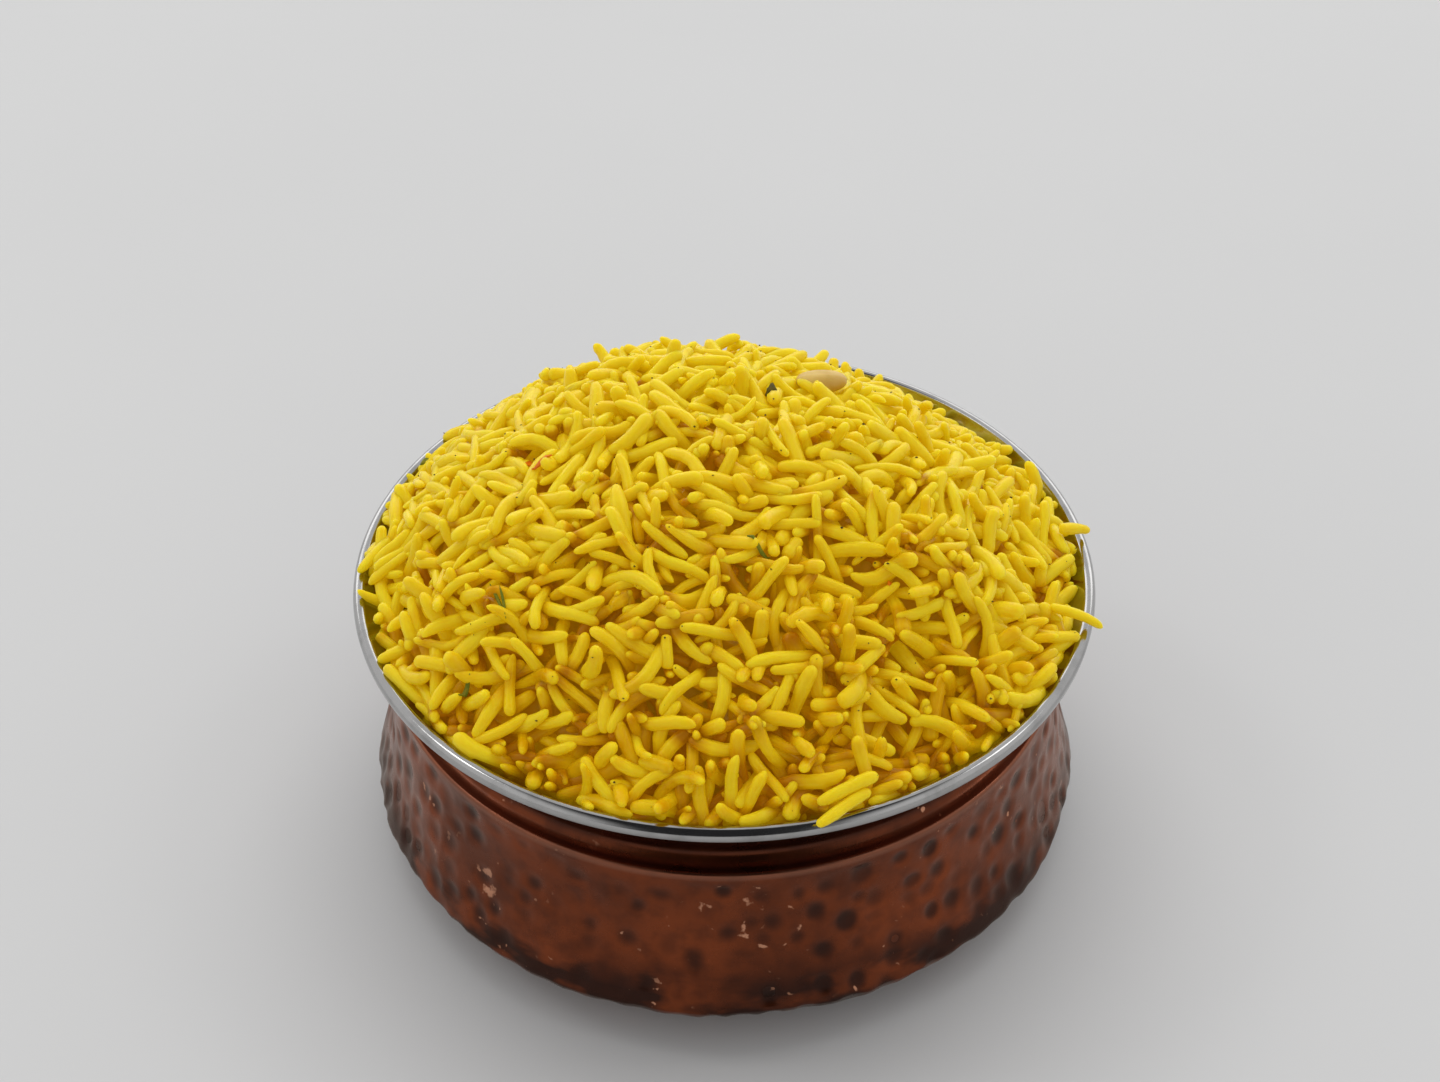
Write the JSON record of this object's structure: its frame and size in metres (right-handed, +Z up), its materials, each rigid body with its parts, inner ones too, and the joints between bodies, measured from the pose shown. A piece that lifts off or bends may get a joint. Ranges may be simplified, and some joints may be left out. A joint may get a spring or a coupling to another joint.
{
  "type": "bowl of lemon rice",
  "caption": "Round copper serving bowl with a steel liner and rolled steel rim, heaped with yellow long-grain rice, herb shreds and a piece of nut.",
  "frame": {"origin": "middle of the bowl's flat base, on the surface it stands on", "axes": "+Z up, out of the bowl's mouth; the bowl is round, and -Y is the side seen in front"},
  "size_m": [0.14, 0.14, 0.0912],
  "materials": {
    "hammered_copper": "dark red-brown lacquered copper, hammered, lightly scratched",
    "liner_steel": "plain stainless steel, softly polished",
    "lemon_rice": "moist yellow cooked rice grains with herb shreds",
    "nut": "tan roasted nut"
  },
  "bodies": {
    "root": {"copper_shell": "hammered_copper", "steel_liner": "liner_steel", "rice_heap": "lemon_rice", "nut_piece": "nut"}
  },
  "joints": []
}
